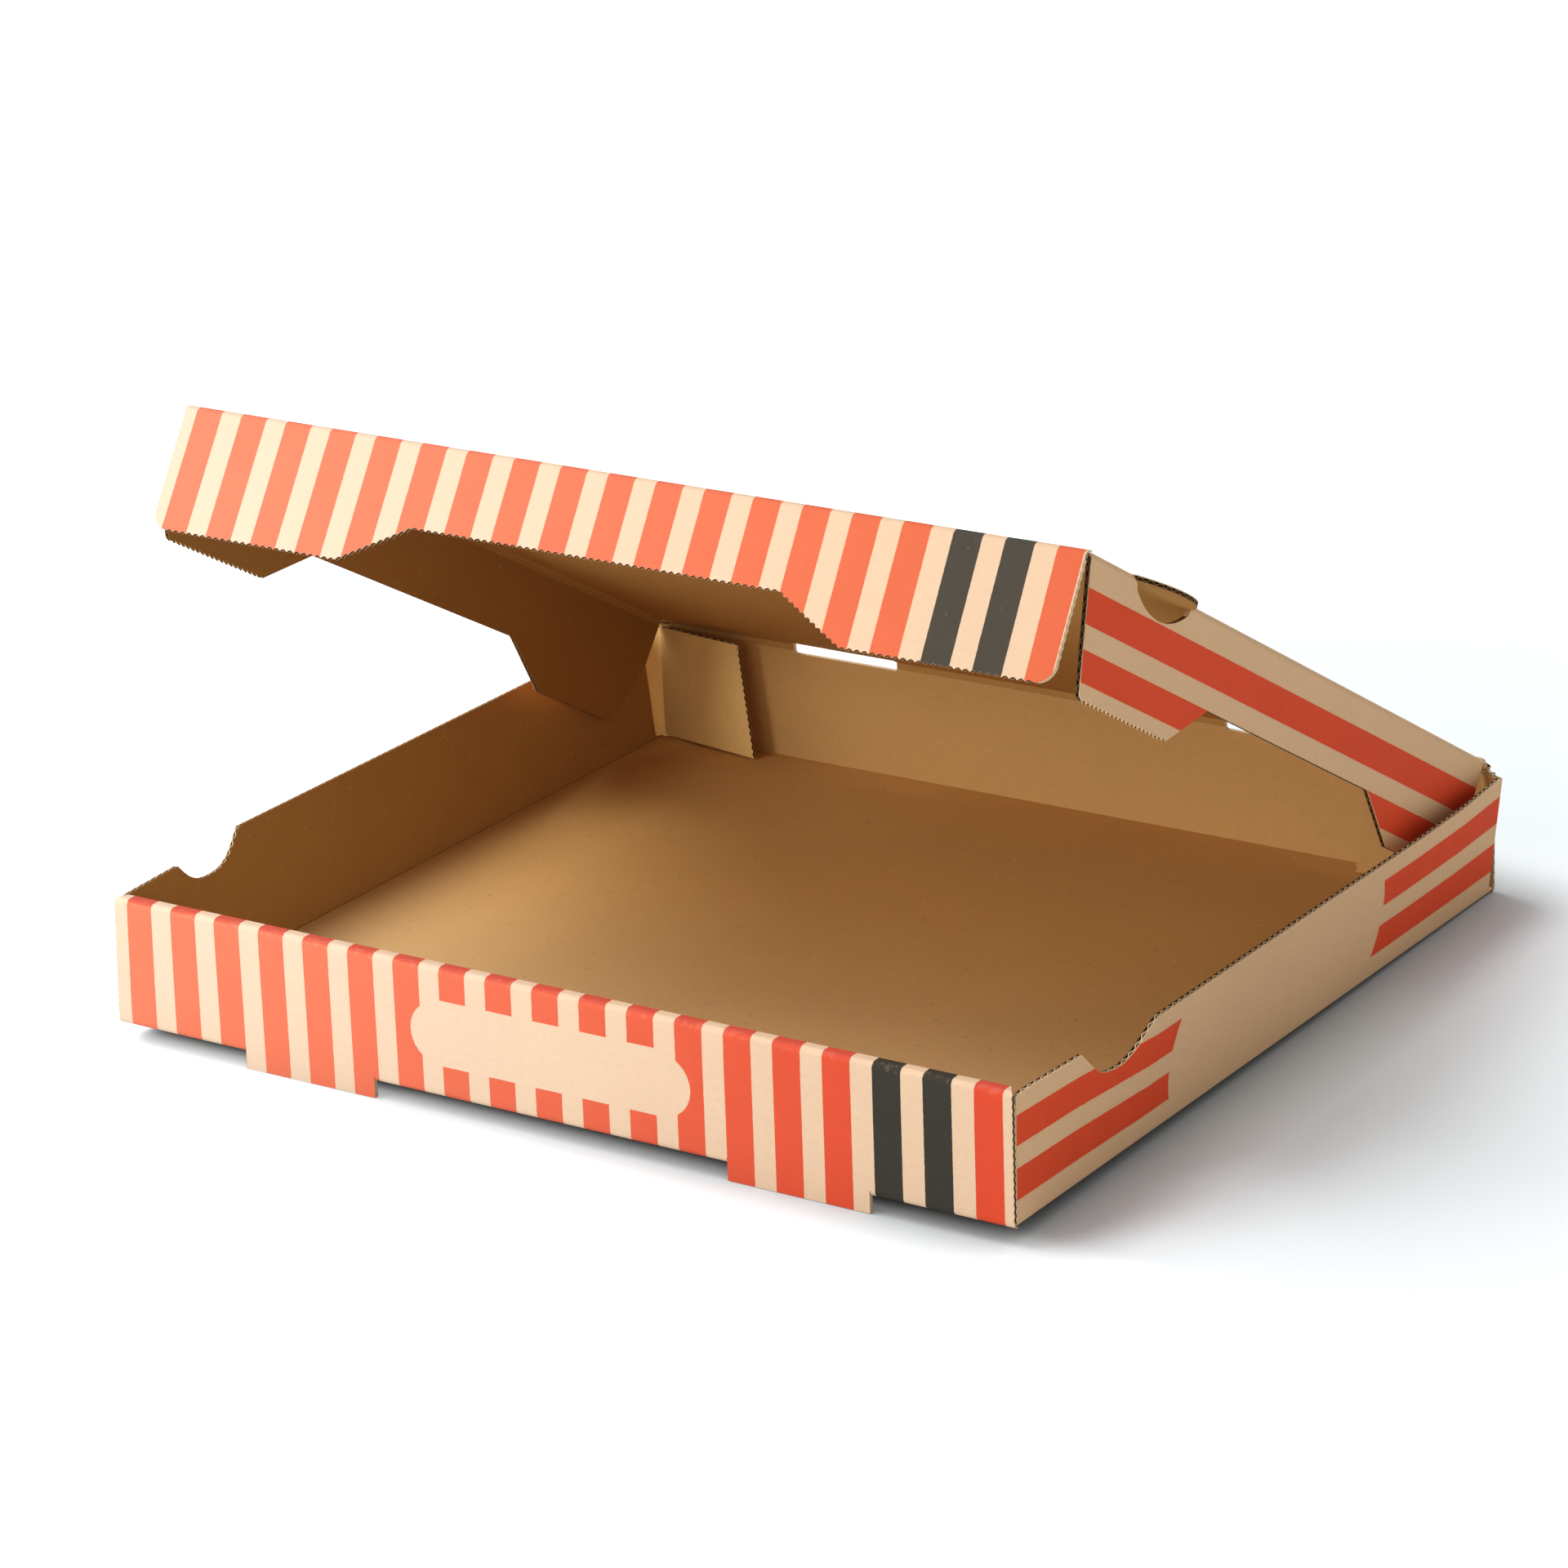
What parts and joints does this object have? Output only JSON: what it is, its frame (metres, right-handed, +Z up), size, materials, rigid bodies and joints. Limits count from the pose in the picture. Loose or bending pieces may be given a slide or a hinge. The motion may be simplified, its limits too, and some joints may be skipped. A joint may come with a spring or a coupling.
{
  "type": "pizza box",
  "caption": "Folded corrugated pizza box with a rolled front wall, front feet and a hinged lid with front and side flaps, standing partly open.",
  "frame": {"origin": "below the middle of the tray, level with the bottoms of the two feet", "axes": "+X to the right along the front wall, +Y from the front to the lid's fold, +Z up"},
  "size_m": [0.3456, 0.309, 0.1967],
  "materials": {
    "board": "matt kraft"
  },
  "bodies": {
    "tray": {"tray": "board"},
    "lid": {"lid": "board"},
    "front_flap": {"lid_front_flap": "board"},
    "left_flap": {"lid_left_flap": "board"},
    "right_flap": {"lid_right_flap": "board"}
  },
  "joints": [
    {"name": "lid_fold", "type": "hinge", "parent": "tray", "child": "lid", "pos_m": [0, 0.1537, 0.0498], "axis": [-1, 0, 0], "range_deg": [-29.7, 150]},
    {"name": "front_flap_fold", "type": "hinge", "parent": "lid", "child": "front_flap", "pos_m": [0, -0.10342, 0.19646], "axis": [-1, 0, 0], "range_deg": [0, 90]},
    {"name": "left_flap_fold", "type": "hinge", "parent": "lid", "child": "left_flap", "pos_m": [-0.1614, 0.1533, 0.04911], "axis": [0, -0.8686, 0.4955], "range_deg": [0, 80]},
    {"name": "right_flap_fold", "type": "hinge", "parent": "lid", "child": "right_flap", "pos_m": [0.1614, 0.1533, 0.04911], "axis": [0, 0.8686, -0.4955], "range_deg": [0, 80]}
  ]
}
